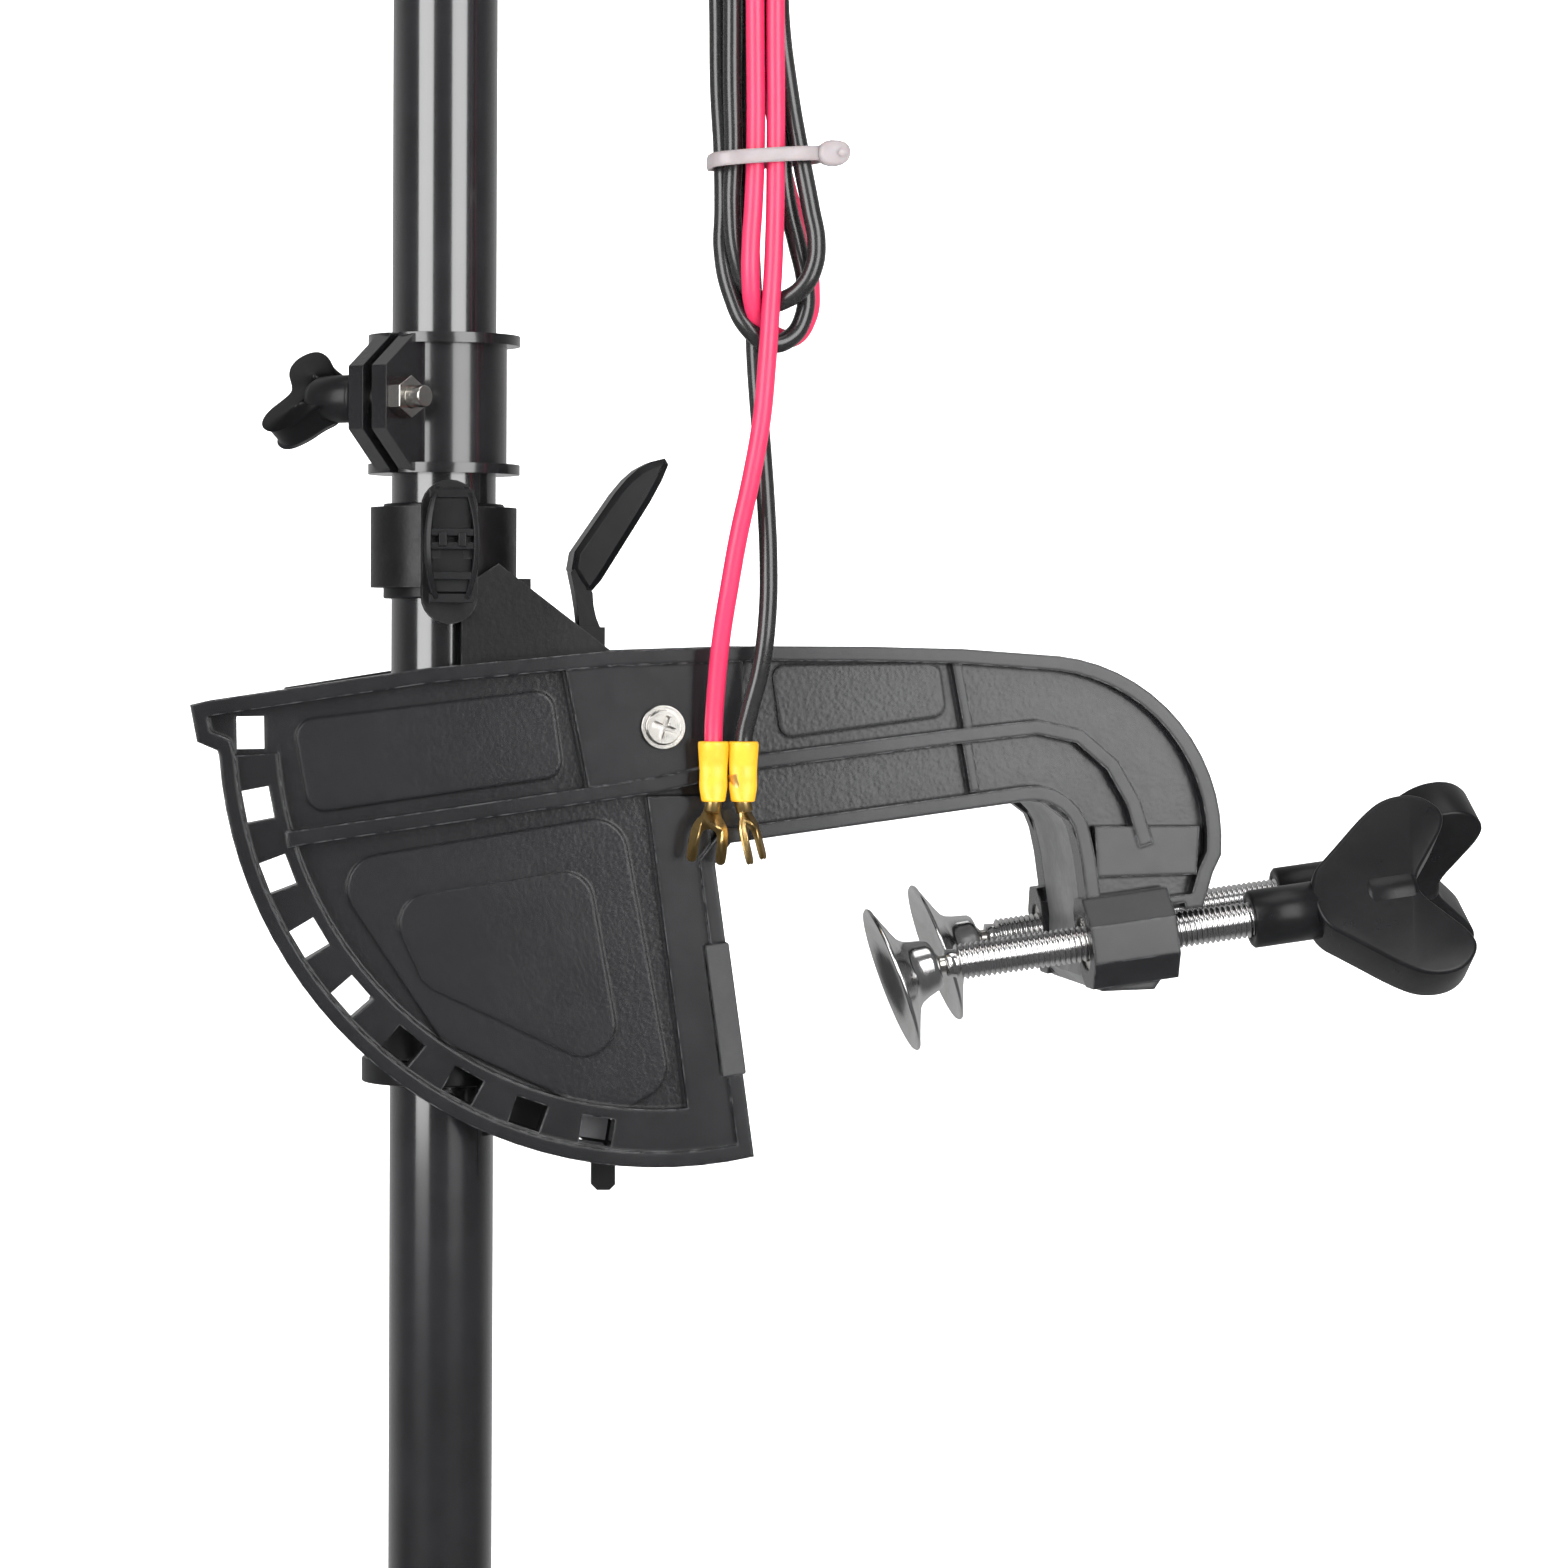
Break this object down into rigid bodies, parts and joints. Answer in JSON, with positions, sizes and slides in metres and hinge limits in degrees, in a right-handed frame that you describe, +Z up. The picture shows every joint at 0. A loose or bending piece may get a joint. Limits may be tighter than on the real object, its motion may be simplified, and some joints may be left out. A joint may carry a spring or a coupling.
{
  "type": "trolling motor",
  "caption": "Clamp-on electric trolling motor: transom bracket with clamp screws and tilt index quadrant, steered sliding tube, tiller head, lower unit with propeller, battery leads.",
  "frame": {"origin": "centre of the transom pad's face, where the bracket bears on the transom", "axes": "+X into the boat, level; +Y to starboard of a viewer facing the near side; +Z up along the upright tube. The bracket and its clamp screws lean 8 degrees."},
  "size_m": [0.558, 0.2046, 1.053],
  "materials": {
    "bracket_black": "semi-gloss black coating over die-cast, fine orange peel",
    "pad_grey": "matt grey rubber",
    "zinc_steel": "bright zinc plate",
    "chrome": "bright chrome",
    "nylon_black": "moulded black nylon, satin",
    "tube_gloss": "high-gloss black",
    "unit_black": "satin black paint",
    "nylon_white": "natural translucent nylon",
    "copper": "copper",
    "magnet_grey": "sintered ferrite",
    "bronze": "oiled bronze",
    "rubber_black": "soft black rubber",
    "lead_pink": "glossy pink PVC",
    "lead_black": "glossy black PVC",
    "sleeve_yellow": "yellow vinyl",
    "brass": "brass"
  },
  "bodies": {
    "bracket": {"bracket_near_side": "bracket_black", "bracket_far_side": "bracket_black", "hook_bridge": "bracket_black", "transom_plate": "bracket_black", "transom_pad": "pad_grey", "clamp_inserts": "zinc_steel", "bracket_screws": "zinc_steel", "pivot_bolt": "zinc_steel", "pivot_nut": "zinc_steel"},
    "arm": {"hinge_arm": "bracket_black", "tension_pin": "zinc_steel", "brake_shoe": "nylon_white", "release_pin": "zinc_steel"},
    "tension": {"tension_lever": "nylon_black"},
    "release": {"release_lever": "nylon_black", "lock_block": "pad_grey"},
    "bush": {"hub_bushes": "nylon_black"},
    "tube": {"depth_tube": "tube_gloss", "head_shell": "nylon_black", "head_lid": "nylon_black", "speed_switch": "nylon_black", "lead_glands": "rubber_black", "motor_can": "unit_black", "nose_bell": "unit_black", "tail_bell": "unit_black", "skeg": "unit_black", "magnets": "magnet_grey", "brushes": "magnet_grey", "bearings": "zinc_steel", "shaft_seal": "rubber_black", "through_bolts": "zinc_steel", "red_feed": "lead_pink", "red_tail": "lead_pink", "black_feed": "lead_black", "black_tail": "lead_black", "lead_hank": "lead_pink", "cable_tie": "nylon_white", "crimp_sleeves": "sleeve_yellow", "fork_terminals": "brass"},
    "collar": {"depth_collar": "nylon_black", "collar_nut": "zinc_steel"},
    "collar_screw": {"collar_knob": "nylon_black", "collar_bolt": "zinc_steel"},
    "tiller": {"tiller_arm": "nylon_black"},
    "tiller_extension": {"tiller_tube": "zinc_steel"},
    "grip": {"twist_grip": "rubber_black"},
    "rotor": {"motor_shaft": "zinc_steel", "armature": "copper", "commutator": "copper", "drive_pin": "zinc_steel", "propeller": "nylon_black", "prop_nut": "zinc_steel"},
    "near_ball": {"screw_ball_near": "zinc_steel"},
    "near_screw": {"clamp_screw_near": "chrome", "clamp_knob_near": "nylon_black"},
    "near_pad": {"swivel_pad_near": "chrome"},
    "far_ball": {"screw_ball_far": "zinc_steel"},
    "far_screw": {"clamp_screw_far": "chrome", "clamp_knob_far": "nylon_black"},
    "far_pad": {"swivel_pad_far": "chrome"}
  },
  "joints": [
    {"name": "tilt", "type": "hinge", "parent": "bracket", "child": "arm", "pos_m": [-0.02056, 0, 0.07588], "axis": [0, 1, 0], "range_deg": [0, 80], "deforming": ["red_feed", "red_tail", "black_feed", "black_tail", "lead_hank", "cable_tie", "crimp_sleeves", "fork_terminals"]},
    {"name": "tension_rock", "type": "hinge", "parent": "arm", "child": "tension", "pos_m": [-0.07756, -0.028, 0.12488], "axis": [-1, 0, 0], "range_deg": [0, 16]},
    {"name": "release_press", "type": "hinge", "parent": "arm", "child": "release", "pos_m": [-0.03806, -0.0146, 0.08988], "axis": [-1, 0, 0], "range_deg": [-1, 1.75], "stiffness_Nm_per_rad": 0.6},
    {"name": "steer", "type": "hinge", "parent": "arm", "child": "bush", "pos_m": [-0.07756, 0, 0.07588], "axis": [0, 0, 1], "range_deg": [-180, 180]},
    {"name": "depth", "type": "slide", "parent": "bush", "child": "tube", "axis": [0, 0, 1], "range_m": [-0.0015, 0.275]},
    {"name": "collar_slide", "type": "slide", "parent": "tube", "child": "collar", "axis": [0, 0, 1], "range_m": [0, 0.27]},
    {"name": "collar_turn", "type": "hinge", "parent": "collar", "child": "collar_screw", "pos_m": [-0.09595, -0.01838, 0.16438], "axis": [0.7071, -0.7071, 0], "range_deg": [0, 720]},
    {"name": "tiller_tilt", "type": "hinge", "parent": "tube", "child": "tiller", "pos_m": [0.04544, 0, 0.49988], "axis": [0, 1, 0], "range_deg": [-85, 15]},
    {"name": "tiller_extend", "type": "slide", "parent": "tiller", "child": "tiller_extension", "axis": [1, 0, 0], "range_m": [-0.02, 0.06]},
    {"name": "throttle", "type": "hinge", "parent": "tiller_extension", "child": "grip", "pos_m": [0.04544, 0, 0.49988], "axis": [1, 0, 0], "range_deg": [-60, 60]},
    {"name": "motor_spin", "type": "hinge", "parent": "tube", "child": "rotor", "pos_m": [-0.07756, 0, -0.39412], "axis": [1, 0, 0], "continuous": true},
    {"name": "near_feed", "type": "slide", "parent": "bracket", "child": "near_ball", "axis": [0.9903, 0, 0.1392], "range_m": [-0.011, 0.034]},
    {"name": "near_turn", "type": "hinge", "parent": "near_ball", "child": "near_screw", "pos_m": [0.05219, -0.032, 0.01087], "axis": [0.9903, 0, 0.1392], "range_deg": [-2641, 8161]},
    {"name": "near_pad_swivel", "type": "hinge", "parent": "near_ball", "child": "near_pad", "pos_m": [0.05219, -0.032, 0.01087], "axis": [0, 1, 0], "range_deg": [0, 18]},
    {"name": "far_feed", "type": "slide", "parent": "bracket", "child": "far_ball", "axis": [0.9903, 0, 0.1392], "range_m": [-0.0345, 0.01]},
    {"name": "far_turn", "type": "hinge", "parent": "far_ball", "child": "far_screw", "pos_m": [0.07547, 0.032, 0.01414], "axis": [0.9903, 0, 0.1392], "range_deg": [-8281, 2401]},
    {"name": "far_pad_swivel", "type": "hinge", "parent": "far_ball", "child": "far_pad", "pos_m": [0.07547, 0.032, 0.01414], "axis": [0, 1, 0], "range_deg": [0, 18]}
  ],
  "couplings": [
    {"joint": "near_turn", "follows": "near_feed", "rad_per_m": 4188.8},
    {"joint": "far_turn", "follows": "far_feed", "rad_per_m": 4188.8}
  ]
}
